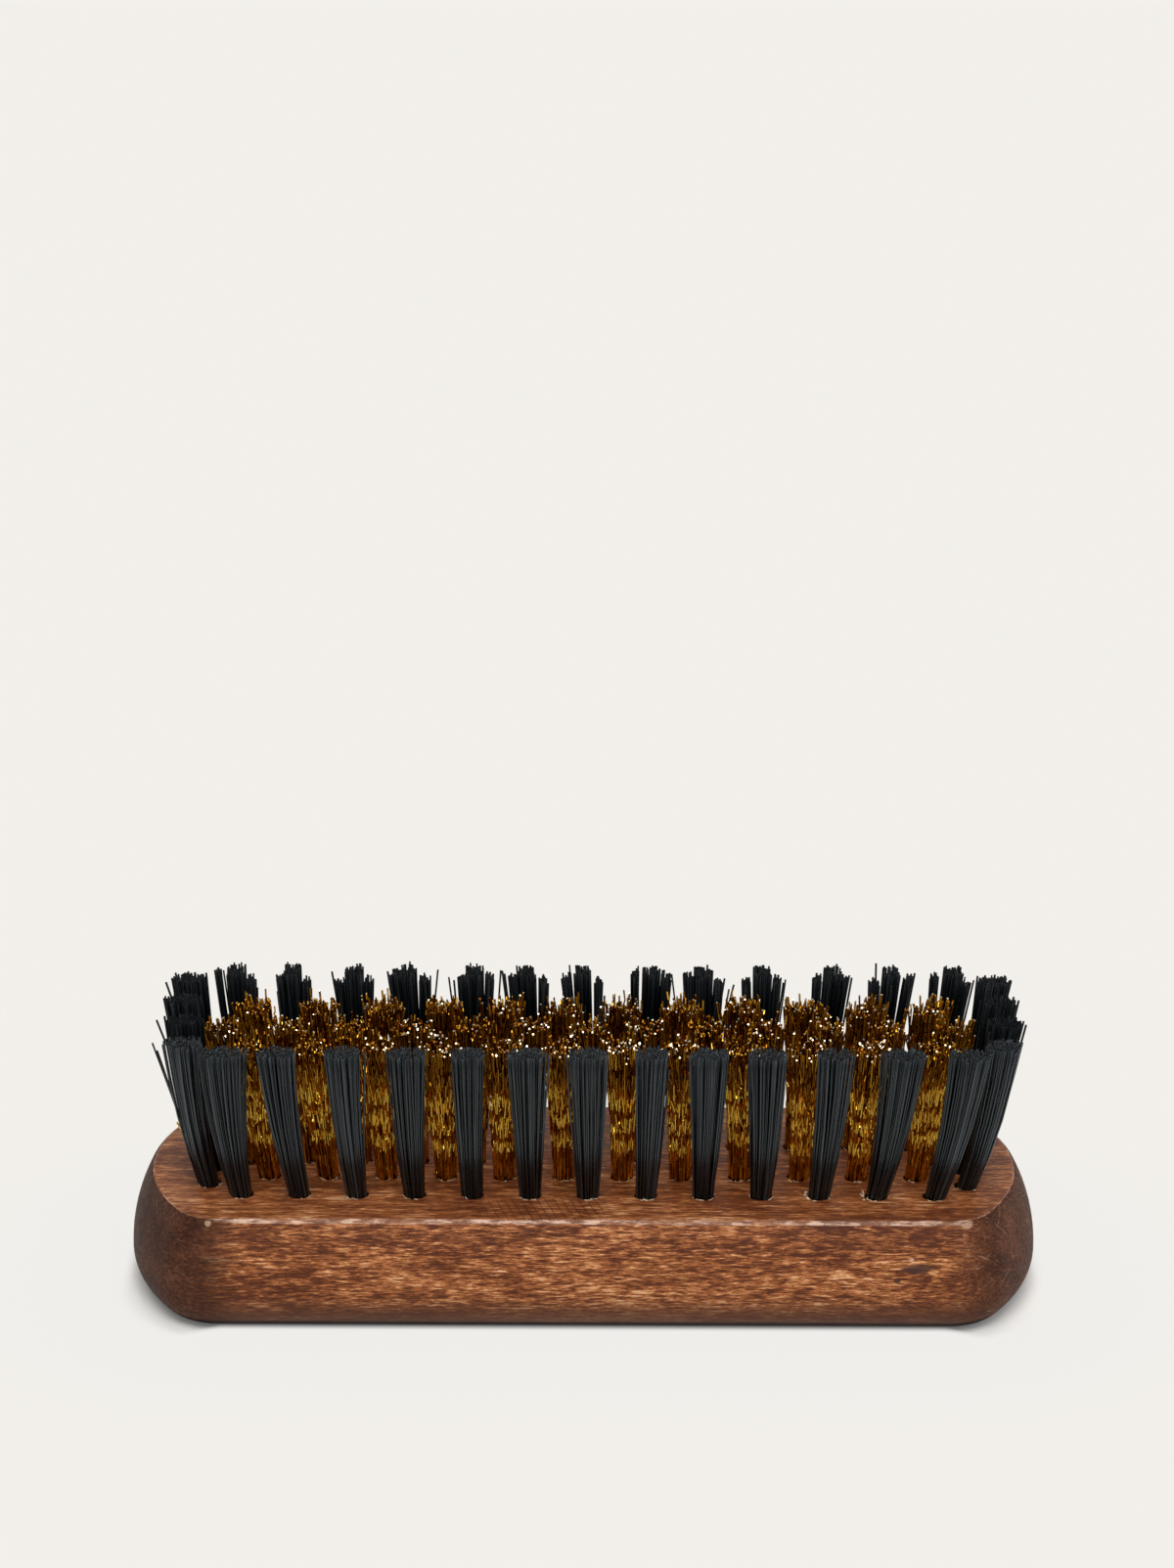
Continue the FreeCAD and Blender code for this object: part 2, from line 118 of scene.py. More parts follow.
# Strands that stand apart: the tuft, then how far the end lies from the tuft's tip, and the end's height
LOOSE_STRANDS = (
    ("nylon_tuft_back_04", (-0.7, 0.3), 39.4),
    ("nylon_tuft_back_12", (-1.4, 0.2), 39.4),
    ("nylon_tuft_back_03", (-3.2, 0.4), 37.9),
    ("nylon_tuft_back_03", (-2.8, -0.6), 37.2),
    ("nylon_tuft_back_04", (3.2, 0.2), 38.3),
    ("nylon_tuft_back_05", (-3.6, 0.3), 37.2),
    ("nylon_tuft_back_05", (3.7, 0.3), 38.2),
    ("nylon_tuft_back_06", (-4.2, 0.1), 38.2),
    ("nylon_tuft_back_08", (3.2, 0.2), 37.8),
    ("nylon_tuft_back_09", (-4.4, 0.4), 37.7),
    ("nylon_tuft_back_09", (3.0, -0.3), 37.4),
    ("nylon_tuft_back_09", (4.3, -0.6), 36.6),
    ("nylon_tuft_back_09", (3.7, 0.5), 35.6),
    ("nylon_tuft_back_10", (-3.8, -0.9), 34.8),
    ("nylon_tuft_back_10", (3.3, 0.4), 37.0),
    ("nylon_tuft_left_1", (-2.7, -0.4), 38.3),
    ("nylon_tuft_left_1", (-2.2, -1.0), 37.4),
    ("nylon_tuft_left_2", (-2.9, -0.2), 38.4),
    ("nylon_tuft_left_4", (-3.3, 0.3), 37.6),
    ("nylon_tuft_right_2", (2.8, 0.4), 37.9),
)
LOOSE_SEED = 1500
LOOSE_STEPS = NYLON_STEPS + 2
LOOSE_START = 0.85
LOOSE_FLARE = 1.1
LOOSE_BEND = 0.35

# Brass wires
BRASS_SEED = 2000
BRASS_ROW_SEEDS = 100
BRASS_COUNT = 100
BRASS_RADIUS = 0.142
BRASS_SIDES = 5
BRASS_BASE = 1.42
BRASS_TIP = 2.7
BRASS_FLARE = 1.5
BRASS_SCATTER = 0.13
BRASS_STRAY_SHARE = 0.1
BRASS_STRAY_REACH = (1.05, 1.35)
BRASS_TRIM = -0.35
BRASS_TRIM_SCATTER = 0.65
BRASS_CUT = (0.0, 0.55)
BRASS_CUT_SCATTER = 0.2
LOOSE_WIRE = ((-46.4, -0.6, 16.5), (-51.5, -3.2, 17.6), (-53.9, -4.0, 20.0), (-55.8, -4.0, 23.3))
LOOSE_WIRE_TONE = 0.8

# The crimps: bends in a wire, their swing, where they start, and how far they drift low down and higher up
CRIMP_BENDS = 11
CRIMP_SWING = 0.26
CRIMP_START = (0.2, 1.5)
CRIMP_DRIFT = 0.28
CRIMP_DRIFT_RISE = 0.35
CRIMP_MARGIN = 0.6
CRIMP_RANGE = (0.5, 1.3)
CRIMP_TURN = 0.5
LEAST_CRIMP = 0.25
FULL_CRIMP = 2.5
BEND_GAP = 0.002

# Tones of the wires' lengths, from 0 for tarnished to 1 for the palest, a painted glint on a cut end
TARNISHED_TONE = 0.46
# Every other length between the bends is painted bright: partly polish, partly painted glints on the crimps
POLISHED_GLINT_TONE = 0.88
DULL_FOOT = 4
FOOT_TONE = 0.42
# The top lengths are painted darker: painted shade on the loose tips
SHADED_TOP = 3
TOP_SHADE_SHARE = 0.3
TONE_SCATTER = 0.17
BRIGHTEST_TONE = 0.85
# A share of the cut ends is painted palest: painted glints
GLINT_END_SHARE = 0.4

# Wood torn up where the holes were drilled
SPLINTER_SEED = 3000
HOLE_RADIUS = 1.55
FEWEST_SPLINTERS = 2
MOST_SPLINTERS = 5
SPLINTER_SIDES = 5
SPLINTER_TAPER = (0.5, 1.0, 0.8, 0.2)
SPLINTER_DRIFT = (-0.1, 0.15)
SPLINTER_REST = 0.02
SPLINTER = {
    "towards": -math.pi / 2,
    "scatter": 0.9,
    "reach": (-0.08, 0.12),
    "length": (0.25, 1.1),
    "lift": (0.0, 0.3),
    "thickness": (0.04, 0.09),
}
CHIP = {
    "towards": math.pi,
    "scatter": 0.5,
    "reach": (0.1, 0.8),
    "length": (0.25, 0.6),
    "lift": (0.0, 0.25),
    "thickness": (0.08, 0.16),
}
CHIP_TUFTS = ("nylon_tuft_front_11", "nylon_tuft_front_12")
CHIPS_EACH = 9

# Grain patterns: cells in a millimetre along, across and up, then detail, roughness and distortion
GRAIN = {
    "blotch": ((0.05, 0.17, 0.2), 3.0, 0.6, 0.0),
    "patch": ((0.22, 0.95, 0.95), 4.0, 0.62, 0.3),
    "fleck": ((0.42, 2.6, 2.6), 5.0, 0.64, 0.5),
    "fibre": ((0.35, 8.0, 8.0), 2.0, 0.6, 0.0),
    "grit": ((0.75, 5.2, 5.2), 4.0, 0.7, 0.5),
    "streak": ((0.2, 1.3, 1.3), 5.0, 0.62, 0.6),
    "pores": ((1.2, 1.8, 3.2), 4.0, 0.66, 0.0),
    # This pattern places the rim's pale chips, partly wear and partly painted highlight
    "wear_glint": ((0.3, 0.9, 1.6), 5.0, 0.7, 0.0),
}
DASH = ((0.55, 3.6, 3.6), 3.0, 0.6, 0.3)
DASH_SHIFT = (37.0, 11.0, 5.0)
PALE_DASH = (0.53, 0.68)
DARK_DASH = (0.47, 0.33)
SCRATCH = ((0.25, 0.13, 4.5), 1.0, 0.5, 0.2)
SCRATCH_LEVELS = (0.66, 0.73)
SCRATCH_ANGLES = (57, -34, 20)
SCRATCH_PATCHES = (0.4, 0.58)
SCRATCH_SHARES = (0.2, 0.5)
WEAR_GLINT_LEVELS = (0.45, 0.62)
NOISE_RANGE = (0.3, 0.7)

# Tones of the sides, top and ends, and how far each pattern moves them
SIDE_TONE = 0.41
SIDE_SWAYS = {"blotch": 1.0, "patch": 1.2, "fleck": 1.7, "grit": 2.1, "fibre": 1.1}
TOP_TONE = 0.36
TOP_SWAYS = {"streak": 1.9, "fleck": 1.8, "grit": 2.1, "blotch": 1.0}
END_TONE = 0.40
END_SWAYS = {"pores": 2.0, "blotch": 1.3}
DASH_TONE = 0.25
UPPER_TONE = -0.15
FAR_TONE = -0.09
# Painted light: the right end is painted lighter than the left
RIGHT_END_PAINTED_LIGHT = 0.16

# Where the tones change, each from the first value to the second
UPPER_BAND = (10.5, 14.2)
# Low on the front the colour is painted darker: painted shade where the front curves under toward the floor
LOW_SHADE_BAND = (7.0, 3.0)
# Along the bottom edge the colour turns near black: painted contact shade
UNDER_SHADE_BAND = (2.2, 1.1)
FAR_BAND = (22.0, 46.0)
MIDDLE_BAND = (-5.0, 5.0)
RIM_BAND = (FACE - 1.5, FACE - 0.7)
TOP_BAND = (FACE - 0.3, FACE - 0.1)
FRONT_BAND = (4 - HALF_WIDTH, 2 - HALF_WIDTH)
NEAR_BAND = (6 - HALF_WIDTH, 4 - HALF_WIDTH)
END_LEFT = -49.7
END_RIGHT = 53.0
END_FADE = (-5.0, 3.0)
END_UNEVENNESS = 9.0
RIM_CLEAR_OF_ENDS = (0.6, 0.1)

# How far a face looks upward, from 0 for upright to 1 for level, where one look gives way to the next
FLAT_TOP = (0.86, 0.98)
END_FACES = (0.95, 0.8)
RIM_STARTS = (0.46, 0.6)
RIM_STOPS = (0.97, 0.88)

# Marks on the wood: middle and half size, along the block and up its front or across its top
KNOT = ((45.0, 10.0), (2.2, 0.7))
KNOT_DOT = ((42.1, 8.4), (0.45, 0.4))
PALE_DOT = ((44.0, 11.2), (0.34, 0.26))
# The two pale spots at the rim's ends are painted highlights
RIM_END_GLINTS = (((-50.4, 15.4), (0.4, 0.35)), ((51.5, 15.4), (0.8, 0.4)))
SAW_MARKS = ((-5.5, -16.0), (10.0, 4.0))
PALE_PATCH = ((-33.2, -12.9), (2.2, 0.5))

# How ragged a mark is and where its edge fades, and how the saw's lines run
MARK_RAGGED = 1.6
MARK_EDGE = (1.25, 0.7)
SAW_SLANT = 0.28
SAW_FREQUENCY = 5.6
SAW_WAVER = 1.5
SAW_LINES = (0.75, 0.95)

# Colours over the grain, most with the share that they cover
# Painted shade low on the front, where it curves under toward the floor
LOW_PAINTED_SHADE = (0.82, (0.080, 0.030, 0.016))
KNOT_BROWN = (0.8, (0.050, 0.024, 0.019))
DOT_PALE = (0.75, (0.56, 0.34, 0.24))
# Painted highlights at the two ends of the rim
GLINT_PALE = (0.5, (0.62, 0.40, 0.26))
SAW_BROWN = (0.7, (0.060, 0.018, 0.009))
PATCH_PALE = (0.6, (0.60, 0.34, 0.17))
# The rim's pale band and paler chips: partly wear, partly a painted highlight along the rounded edge
RIM_WORN_HIGHLIGHT = (0.5, (0.26, 0.13, 0.08))
RIM_BARE_HIGHLIGHT = (0.75, (0.80, 0.55, 0.42))
TOP_STAIN_SHARE = 0.15
TOP_STAIN = (0.220, 0.060, 0.022)
SCRATCH_PALE = (0.36, 0.20, 0.13)
# Painted contact shade along the bottom edge
UNDER_PAINTED_SHADE = (0.010, 0.006, 0.005)

# The wood's sheen and relief
WOOD_ROUGHNESS = (0.38, 0.54)
END_ROUGHER = 0.18
UNDER_ROUGHER = 0.4
WOOD_SHINE = 0.14
RELIEF_DEPTH = 0.06
RELIEF_STRENGTH = 0.6

# The other materials: the nylon's shine and palest colour, then roughness and the tint of the gloss
# Lit and shaded copies of one nylon, the lit one shinier and paler: painted light and shade
NYLON_LIT_COPY = (0.72, (0.020, 0.025, 0.030))
NYLON_SHADED_COPY = (0.06, (0.012, 0.014, 0.016))
NYLON_ROUGHNESS = (0.34, 0.12)
NYLON_UNEVENNESS = 0.2
NYLON_TINT = (0.84, 0.94, 1.0, 1.0)
BRASS_ROUGHNESS = (0.2, 0.34)
BRASS_UNEVENNESS = 0.3
BRASS_TINT = (1.0, 0.6, 0.16, 1.0)
STEEL_ROUGHNESS = (0.3, 0.45)
SPLINTER_ROUGHNESS = 0.7

# The camera that matches the photograph's angle
PHOTO_HEIGHT = 1603
FOCAL_PIXELS = 4400
CAMERA_PLACE = (0.25, -548.1, 256.0)
CAMERA_PITCH = 18.64
CAMERA_ROLL = 0.22
SENSOR = 36

# Studio colours, and the floor's shadow beside the block
PAPER = (0.888, 0.863, 0.823)
# A faint painted shade, a touch darker and cooler, on the paper near the block
PAPER_PAINTED_SHADE = (0.862, 0.852, 0.830)
SKY_LOW = (0.50, 0.49, 0.47)
SKY_HIGH = (0.17, 0.17, 0.18)
CORNER = 14.0
SHADOW_REACH = 1.5
OVERHANG = 3.6
PLAIN_SHARES = (0.1, 0.97)
WHITE_REACH = 30.0
BACKDROP_RISE = 0.45

# The floor's half size and the camera's nearest and farthest sight, in metres
FLOOR_REACH = 40
NEAREST_SIGHT = 0.01
FARTHEST_SIGHT = 200

# Lamps: name, azimuth, elevation and softness in degrees, strength and colour
SUNS = (
    ("key", -4, 60, 34, 1.7, (1.0, 0.985, 0.96)),
    ("fill", 32, 45, 50, 0.8, (1.0, 1.0, 1.0)),
    ("top", 170, 76, 24, 0.6, (1.0, 1.0, 1.0)),
)


class Shader:
    """A node tree that is written with short calls."""

    def __init__(self, owner):
        owner.use_nodes = True
        self.tree = owner.node_tree
        self.tree.nodes.clear()

    def add(self, kind, inputs=None, **settings):
        node = self.tree.nodes.new(kind)
        for name, setting in settings.items():
            setattr(node, name, setting)
        for key, content in (inputs or {}).items():
            socket = node.inputs[key]
            if isinstance(content, bpy.types.NodeSocket):
                self.tree.links.new(content, socket)
            else:
                socket.default_value = content
        return node

    def math(self, operation, first, second=0.0, third=0.0):
        inputs = {0: first, 1: second, 2: third}
        return self.add("ShaderNodeMath", inputs, operation=operation).outputs[0]

    def times(self, level, *factors):
        for factor in factors:
            level = self.math("MULTIPLY", level, factor)
        return level

    def stretch(self, vector, scale):
        inputs = {0: vector, 1: scale}
        return self.add("ShaderNodeVectorMath", inputs, operation="MULTIPLY").outputs[0]

    def shift(self, vector, offset):
        inputs = {0: vector, 1: offset}
        return self.add("ShaderNodeVectorMath", inputs, operation="ADD").outputs[0]

    def split(self, vector):
        return self.add("ShaderNodeSeparateXYZ", {0: vector}).outputs

    def noise(self, vector, scale, detail, rough=0.55, warp=0.0):
        inputs = {
            "Vector": self.stretch(vector, scale),
            "Scale": 1.0,
            "Detail": detail,
            "Roughness": rough,
            "Distortion": warp,
        }
        return self.add("ShaderNodeTexNoise", inputs).outputs["Fac"]

    def step(self, level, low, high):
        """0 below low and 1 above high, or the other way round, with a smooth rise between."""
        inputs = {"Value": level, "From Min": low, "From Max": high, "To Min": 0.0, "To Max": 1.0}
        return self.add("ShaderNodeMapRange", inputs, interpolation_type="SMOOTHSTEP").outputs[0]

    def scale(self, level, low, high, to_low, to_high):
        inputs = {"Value": level, "From Min": low, "From Max": high, "To Min": to_low, "To Max": to_high}
        return self.add("ShaderNodeMapRange", inputs).outputs[0]

    def sway(self, base, level, amount):
        """The base moved by how far a noise level lies from its middle."""
        return self.math("MULTIPLY_ADD", self.math("SUBTRACT", level, 0.5), amount, base)

    def spot(self, across, along, mark, ragged):
        """1 inside an oval mark and 0 outside it, with an edge that follows a noise level."""
        (middle_x, middle_y), (half_x, half_y) = mark
        dx = self.math("DIVIDE", self.math("SUBTRACT", across, middle_x), half_x)
        dy = self.math("DIVIDE", self.math("SUBTRACT", along, middle_y), half_y)
        reach = self.math("SQRT", self.math("MULTIPLY_ADD", dx, dx, self.times(dy, dy)))
        return self.step(self.sway(reach, ragged, MARK_RAGGED), *MARK_EDGE)

    def ramp(self, level, stops):
        node = self.add("ShaderNodeValToRGB", {"Fac": level})
        elements = node.color_ramp.elements
        while len(elements) < len(stops):
            elements.new(1.0)
        for element, (place, colour) in zip(elements, stops):
            element.position = place
            element.color = (*colour, 1.0)
        return node.outputs["Color"]

    def mix(self, share, first, second):
        node = self.add("ShaderNodeMix", data_type="RGBA")
        for socket, content in zip((node.inputs[0], node.inputs[6], node.inputs[7]), (share, first, second)):
            if isinstance(content, bpy.types.NodeSocket):
                self.tree.links.new(content, socket)
            elif isinstance(content, tuple):
                socket.default_value = (*content, 1.0)
            else:
                socket.default_value = content
        return node.outputs[2]

    def cover(self, where, colour, paint):
        """A colour under a paint, which is a share and a colour of its own, where a level is 1."""
        share, tint = paint
        return self.mix(self.times(where, share), colour, tint)

    def place(self):
        """The point in the row frame, in millimetres."""
        coords = self.add("ShaderNodeTexCoord").outputs["Object"]
        return self.stretch(coords, (1 / MM, 1 / MM, 1 / MM))

    def bump(self, height, depth, strength):
        inputs = {"Height": height, "Distance": depth * MM, "Strength": strength}
        return self.add("ShaderNodeBump", inputs).outputs["Normal"]

    def surface(self, inputs):
        skin = self.add("ShaderNodeBsdfPrincipled", inputs)
        self.add("ShaderNodeOutputMaterial", {"Surface": skin.outputs[0]})


def new_material(name):
    material = bpy.data.materials.new(name)
    return material, Shader(material)


def grain_tone(s, base, grain, sways):
    """A tone moved from its base by several patterns of the grain."""
    for name, amount in sways.items():
        base = s.sway(base, grain[name], amount)
    return base


def grain_colours(s, tone):
    """The stain's colours from its darkest lines to its bare flecks."""
    return s.ramp(
        tone,
        [
            (0.0, (0.075, 0.020, 0.008)),
            (0.2, (0.130, 0.037, 0.012)),
            (0.45, (0.260, 0.083, 0.026)),
            (0.68, (0.430, 0.165, 0.058)),
            (0.85, (0.570, 0.280, 0.125)),
            (1.0, (0.680, 0.410, 0.230)),
        ],
    )


def side_colour(s, at, grain):
    """Long grain of the sides: dashed, darker under the rim and away from the middle, and painted shade low
    down toward the floor.
    """
    x, _, z = s.split(at)
    dash = s.noise(s.shift(at, DASH_SHIFT), *DASH)
    tone = grain_tone(s, SIDE_TONE, grain, SIDE_SWAYS)
    tone = s.math("MULTIPLY_ADD", s.step(dash, *PALE_DASH), DASH_TONE, tone)
    tone = s.math("MULTIPLY_ADD", s.step(dash, *DARK_DASH), -DASH_TONE, tone)
    tone = s.math("MULTIPLY_ADD", s.step(z, *UPPER_BAND), UPPER_TONE, tone)
    tone = s.math("MULTIPLY_ADD", s.step(s.math("ABSOLUTE", x), *FAR_BAND), FAR_TONE, tone)
    # Painted shade low down, toward the floor
    return s.cover(s.step(z, *LOW_SHADE_BAND), grain_colours(s, tone), LOW_PAINTED_SHADE)


def top_colour(s, grain):
    """Long grain of the flat top, a little redder than the sides."""
    tone = grain_tone(s, TOP_TONE, grain, TOP_SWAYS)
    return s.mix(TOP_STAIN_SHARE, grain_colours(s, tone), TOP_STAIN)


def scratches(s, at, angle):
    """Thin short lines at one angle to the floor, on the faces that look along X."""
    inputs = {"Vector": at, "Angle": math.radians(angle)}
    turned = s.add("ShaderNodeVectorRotate", inputs, rotation_type="X_AXIS").outputs[0]
    return s.step(s.noise(turned, *SCRATCH), *SCRATCH_LEVELS)


def end_colour(s, at, grain):
    """Dark end grain with patches of pale scratches, plainer on the left end than on the right, and painted
    lighter on the right end, as if lit more from that side.
    """
    x = s.split(at)[0]
    tone = grain_tone(s, END_TONE, grain, END_SWAYS)
    # Painted light: the right end lighter than the left
    tone = s.math("MULTIPLY_ADD", s.step(x, *MIDDLE_BAND), RIGHT_END_PAINTED_LIGHT, tone)
    colour = s.ramp(
        tone,
        [(0.1, (0.026, 0.008, 0.004)), (0.5, (0.060, 0.020, 0.009)), (0.95, (0.135, 0.050, 0.024))],
    )
    scratch = scratches(s, at, SCRATCH_ANGLES[0])
    for angle in SCRATCH_ANGLES[1:]:
        scratch = s.math("MAXIMUM", scratch, scratches(s, at, angle))
    patchy = s.step(grain["patch"], *SCRATCH_PATCHES)
    strength = s.scale(x, *MIDDLE_BAND, *SCRATCH_SHARES)
    return s.mix(s.times(scratch, patchy, strength), colour, SCRATCH_PALE)


def end_reach(s, at, grain, upward):
    """1 on the block's ends and 0 on its sides and top, with an uneven edge between."""
    x = s.split(at)[0]
    beyond = s.math("MAXIMUM", s.math("SUBTRACT", END_LEFT, x), s.math("SUBTRACT", x, END_RIGHT))
    level = s.sway(beyond, grain["patch"], END_UNEVENNESS)
    return s.times(s.step(level, *END_FADE), s.step(upward, *END_FACES))


def worn_rim_highlight(s, at, grain, upward, end_share, colour):
    """The upper rim: a pale band with paler chips, partly rubbed wear and partly a painted highlight along
    the rounded edge.
    """
    z = s.split(at)[2]
    tilted = s.times(s.step(upward, *RIM_STARTS), s.step(upward, *RIM_STOPS))
    rim = s.times(s.step(z, *RIM_BAND), tilted, s.step(end_share, *RIM_CLEAR_OF_ENDS))
    colour = s.cover(rim, colour, RIM_WORN_HIGHLIGHT)
    # Paler chips on the rim: partly bare wood, partly painted highlight
    bare_glints = s.times(rim, s.step(grain["wear_glint"], *WEAR_GLINT_LEVELS))
    return s.cover(bare_glints, colour, RIM_BARE_HIGHLIGHT)


def wood_marks(s, at, colour, fleck):
    """A small knot low on the front, two painted highlights at the ends of the rim, and saw marks and a worn
    patch on the top.
    """
    x, y, z = s.split(at)
    front = s.step(y, *FRONT_BAND)
    dark = s.math("MAXIMUM", s.spot(x, z, KNOT, fleck), s.spot(x, z, KNOT_DOT, fleck))
    colour = s.cover(s.times(dark, front), colour, KNOT_BROWN)
    colour = s.cover(s.times(s.spot(x, z, PALE_DOT, fleck), front), colour, DOT_PALE)
    near = s.step(y, *NEAR_BAND)
    # Painted highlights at the two ends of the rim
    for rim_glint in RIM_END_GLINTS:
        colour = s.cover(s.times(s.spot(x, z, rim_glint, fleck), near), colour, GLINT_PALE)

    top = s.step(z, *TOP_BAND)
    slant = s.math("MULTIPLY_ADD", y, SAW_SLANT, x)
    lines = s.math("SINE", s.math("MULTIPLY_ADD", slant, SAW_FREQUENCY, s.times(fleck, SAW_WAVER)))
    sawn = s.times(s.step(lines, *SAW_LINES), s.spot(x, y, SAW_MARKS, fleck))
    colour = s.cover(s.times(sawn, top), colour, SAW_BROWN)
    return s.cover(s.times(s.spot(x, y, PALE_PATCH, fleck), top), colour, PATCH_PALE)


def wood_material():
    """Stained beech: flecked long grain, darker end grain, an upper rim partly worn and partly a painted
    highlight, and painted shade low on the front and along the bottom edge.
    """
    material, s = new_material("stained_beech")
    at = s.place()
    z = s.split(at)[2]
    upward = s.split(s.add("ShaderNodeNewGeometry").outputs["Normal"])[2]
    grain = {name: s.noise(at, *pattern) for name, pattern in GRAIN.items()}
    end_share = end_reach(s, at, grain, upward)
    # Where the bottom edge turns near black: painted contact shade
    under = s.step(z, *UNDER_SHADE_BAND)

    colour = s.mix(s.step(upward, *FLAT_TOP), side_colour(s, at, grain), top_colour(s, grain))
    colour = s.mix(end_share, colour, end_colour(s, at, grain))
    colour = worn_rim_highlight(s, at, grain, upward, end_share, colour)
    colour = wood_marks(s, at, colour, grain["fleck"])
    # Painted contact shade along the bottom edge
    colour = s.mix(under, colour, UNDER_PAINTED_SHADE)

    roughness = s.scale(grain["streak"], *NOISE_RANGE, *WOOD_ROUGHNESS)
    roughness = s.math("MULTIPLY_ADD", end_share, END_ROUGHER, roughness)
    roughness = s.math("MULTIPLY_ADD", under, UNDER_ROUGHER, roughness)
    normal = s.bump(s.math("ADD", grain["fleck"], grain["fibre"]), RELIEF_DEPTH, RELIEF_STRENGTH)
    look = {"Base Color": colour, "Roughness": roughness, "Normal": normal, "Specular IOR Level": WOOD_SHINE}
    s.surface(look)
    return material


def nylon_material(name, shine, palest):
    """Black nylon: glossy strands whose tone differs a little from one to the next."""
    material, s = new_material(name)
    tone = s.add("ShaderNodeAttribute", attribute_name="strand_tone").outputs["Fac"]
    colour = s.ramp(tone, [(0.0, (0.001, 0.001, 0.001)), (0.6, (0.004, 0.005, 0.006)), (1.0, palest)])
    drawn = s.noise(s.place(), (9.0, 9.0, 0.7), 2.0)
    roughness = s.sway(s.scale(tone, 0.0, 1.0, *NYLON_ROUGHNESS), drawn, NYLON_UNEVENNESS)
    gloss = {"Roughness": roughness, "Specular IOR Level": shine, "Specular Tint": NYLON_TINT}
    s.surface({"Base Color": colour, **gloss})
    return material


def brass_material():
    """Drawn brass wire: tarnished brown, with alternate lengths painted gold, partly polish and partly
    painted glints on the crimps, and painted near-white glints on some cut ends.
    """
    material, s = new_material("brass_wire")
    tone = s.add("ShaderNodeAttribute", attribute_name="strand_tone").outputs["Fac"]
    tarnish = s.noise(s.place(), (2.5, 2.5, 0.8), 3.0)
    colour = s.ramp(
        s.sway(tone, tarnish, BRASS_UNEVENNESS),
        [
            (0.0, (0.180, 0.060, 0.007)),
            (0.35, (0.500, 0.235, 0.022)),
            (0.65, (1.000, 0.580, 0.055)),
            (0.9, (1.000, 0.700, 0.120)),
            (1.0, (1.000, 0.900, 0.680)),
        ],
    )
    roughness = s.scale(tarnish, *NOISE_RANGE, *BRASS_ROUGHNESS)
    s.surface({"Base Color": colour, "Metallic": 1.0, "Roughness": roughness, "Specular Tint": BRASS_TINT})
    return material


def splinter_material():
    """Bare torn wood, paler than the stain."""
    material, s = new_material("bare_wood")
    grain = s.noise(s.place(), (3.0, 9.0, 9.0), 3.0)
    colour = s.ramp(grain, [(0.3, (0.50, 0.30, 0.17)), (0.7, (0.84, 0.68, 0.50))])
    s.surface({"Base Color": colour, "Roughness": SPLINTER_ROUGHNESS})
    return material


def steel_material():
    """Brushed steel for the anchors inside the block."""
    material, s = new_material("anchor_steel")
    lines = s.noise(s.place(), (0.6, 6.0, 9.0), 3.0)
    colour = s.ramp(lines, [(0.3, (0.42, 0.42, 0.43)), (0.7, (0.60, 0.60, 0.61))])
    roughness = s.scale(lines, *NOISE_RANGE, *STEEL_ROUGHNESS)
    s.surface({"Base Color": colour, "Metallic": 1.0, "Roughness": roughness})
    return material


def floor_material():
    """Pale paper: matte beside the block, so it keeps the shadow, and its plain colour further off, with a
    faint painted shade near the block.
    """
    material, s = new_material("studio_paper")
    path = s.add("ShaderNodeLightPath").outputs
    seen = s.math("MAXIMUM", path["Is Camera Ray"], path["Is Glossy Ray"])
    seen = s.math("MAXIMUM", seen, path["Is Transmission Ray"])
    x, y, _ = s.split(s.place())
    beyond_end = s.math("SUBTRACT", s.math("ABSOLUTE", x), HALF_LENGTH - CORNER)
    beyond_side = s.math("SUBTRACT", s.math("ABSOLUTE", y), HALF_WIDTH - CORNER)
    beyond_end = s.math("MAXIMUM", beyond_end, 0.0)
    beyond_side = s.math("MAXIMUM", beyond_side, 0.0)
    squared = s.math("MULTIPLY_ADD", beyond_end, beyond_end, s.times(beyond_side, beyond_side))
    apart = s.math("SUBTRACT", s.math("SQRT", squared), CORNER)
    along_front = s.times(s.step(beyond_end, CORNER / 2, 0.0), s.step(y, CORNER, -CORNER))
    overhang = s.math("MULTIPLY_ADD", along_front, OVERHANG, apart)
    plain = s.scale(overhang, 0.0, SHADOW_REACH, *PLAIN_SHARES)
    # Painted shade: the paper a touch darker and cooler near the block
    tint = s.mix(s.step(apart, SHADOW_REACH, WHITE_REACH), PAPER_PAINTED_SHADE, PAPER)
    matte = s.add("ShaderNodeBsdfDiffuse", {"Color": tint})
    flat = s.add("ShaderNodeEmission", {"Color": tint, "Strength": 1.0})
    mixed = s.add("ShaderNodeMixShader", {0: s.times(seen, plain), 1: matte.outputs[0], 2: flat.outputs[0]})
    s.add("ShaderNodeOutputMaterial", {"Surface": mixed.outputs[0]})
    return material


def nodes_named(*starts):
    return sorted(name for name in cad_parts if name.startswith(starts))


def node_points(name):
    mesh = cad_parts[name].data
    flat = np.empty(len(mesh.vertices) * 3)
    mesh.vertices.foreach_get("co", flat)
    return flat.reshape(-1, 3) / MM


def split_along_x(points):
    ordered = points[np.argsort(points[:, 0])]
    cuts = np.nonzero(np.diff(ordered[:, 0]) > TUFT_GAP)[0] + 1
    return np.split(ordered, cuts)


def middle(points):
    return (points.min(axis=0) + points.max(axis=0)) / 2


def unit(vectors):
    return vectors / np.linalg.norm(vectors, axis=-1, keepdims=True)


